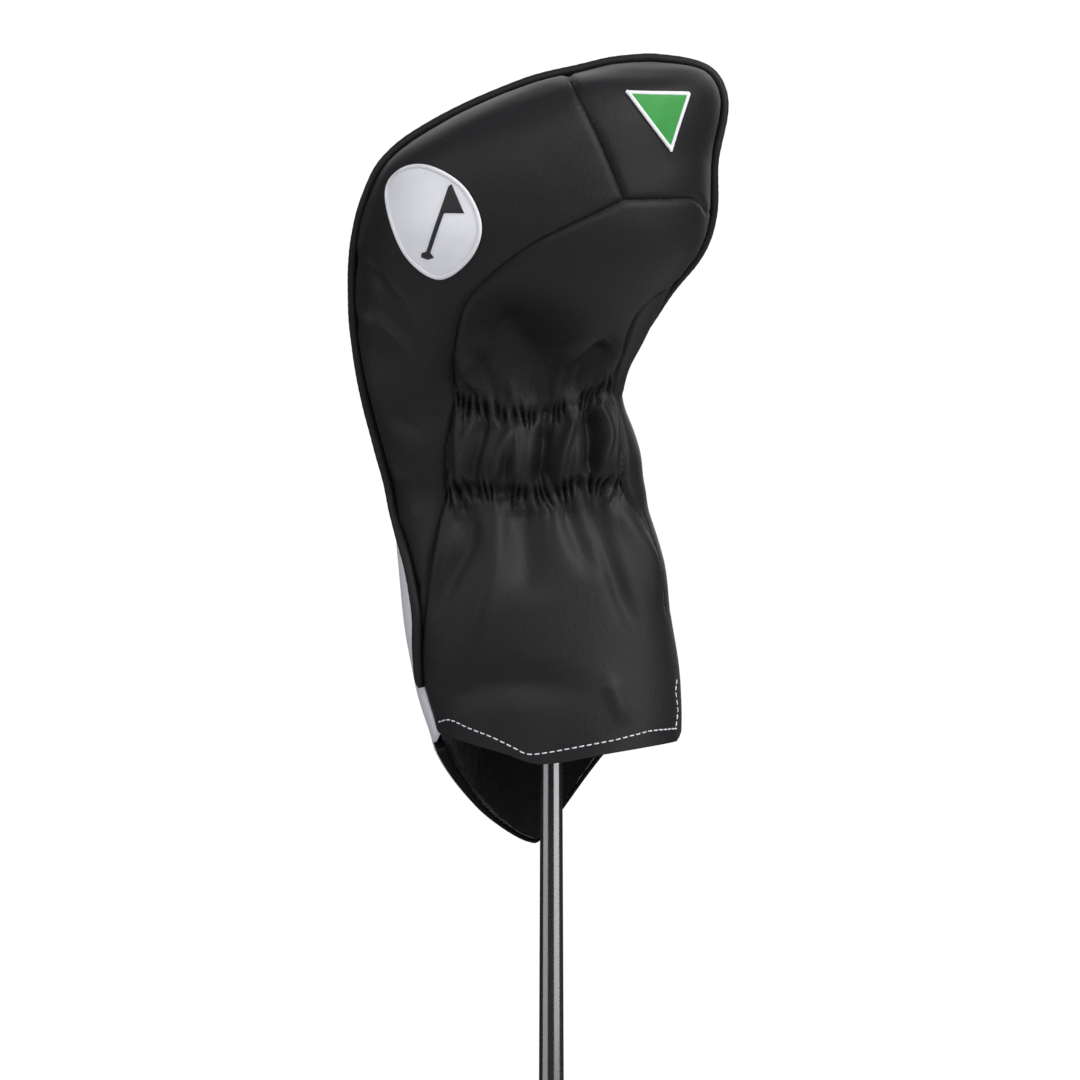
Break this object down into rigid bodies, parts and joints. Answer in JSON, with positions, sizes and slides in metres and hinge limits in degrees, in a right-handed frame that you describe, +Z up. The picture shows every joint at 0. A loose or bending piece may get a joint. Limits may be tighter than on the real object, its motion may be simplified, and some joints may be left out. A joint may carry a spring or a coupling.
{
  "type": "fairway wood golf club with head cover",
  "caption": "Fairway wood with its padded two-tone head cover pulled on; the cover slides off over the head.",
  "frame": {"origin": "centre of the grip's end cap, on the shaft's axis", "axes": "+Z up the shaft from the grip to the head; -Y is the side the gathered front of the cover faces; +X is the side the toe leans to"},
  "size_m": [0.157, 0.158, 1.1472],
  "materials": {
    "head": "satin",
    "carbon_crown": "gloss",
    "face_steel": "brushed",
    "weight": "turned",
    "screw": "satin",
    "ferrule": "gloss",
    "shaft": "gloss",
    "plug": "matt",
    "tape": "matt",
    "grip": "matt",
    "leatherette": "satin, grained",
    "pale_leatherette": "satin, grained",
    "fleece": "brushed pile",
    "elastic": "woven",
    "thread": "matt",
    "embroidery": "satin stitch",
    "mark_thread": "satin stitch",
    "green_thread": "satin stitch"
  },
  "bodies": {
    "club": {"head_body": "head", "crown_plate": "carbon_crown", "face_plate": "face_steel", "sole_weight": "weight", "weight_screw": "screw", "ferrule": "ferrule", "shaft": "shaft", "tip_plug": "plug", "grip_tape": "tape", "grip": "grip"},
    "cover": {"side_band": "leatherette", "toe_panel": "leatherette", "front_panel": "leatherette", "side_strip": "leatherette", "back_band": "leatherette", "back_panel": "pale_leatherette", "lining_front": "fleece", "lining_back": "fleece", "upper_elastic": "elastic", "lower_elastic": "elastic", "hem_thread": "thread", "piping": "leatherette", "patch": "embroidery", "patch_mark": "mark_thread", "emblem_border": "embroidery", "emblem_ground": "green_thread"}
  },
  "joints": [
    {"name": "cover_slide", "type": "slide", "parent": "club", "child": "cover", "axis": [0, 0, 1], "range_m": [0, 0.34], "deforming": ["side_band", "front_panel", "side_strip", "back_band", "back_panel", "lining_front", "lining_back", "upper_elastic", "lower_elastic", "toe_panel", "hem_thread"]}
  ]
}
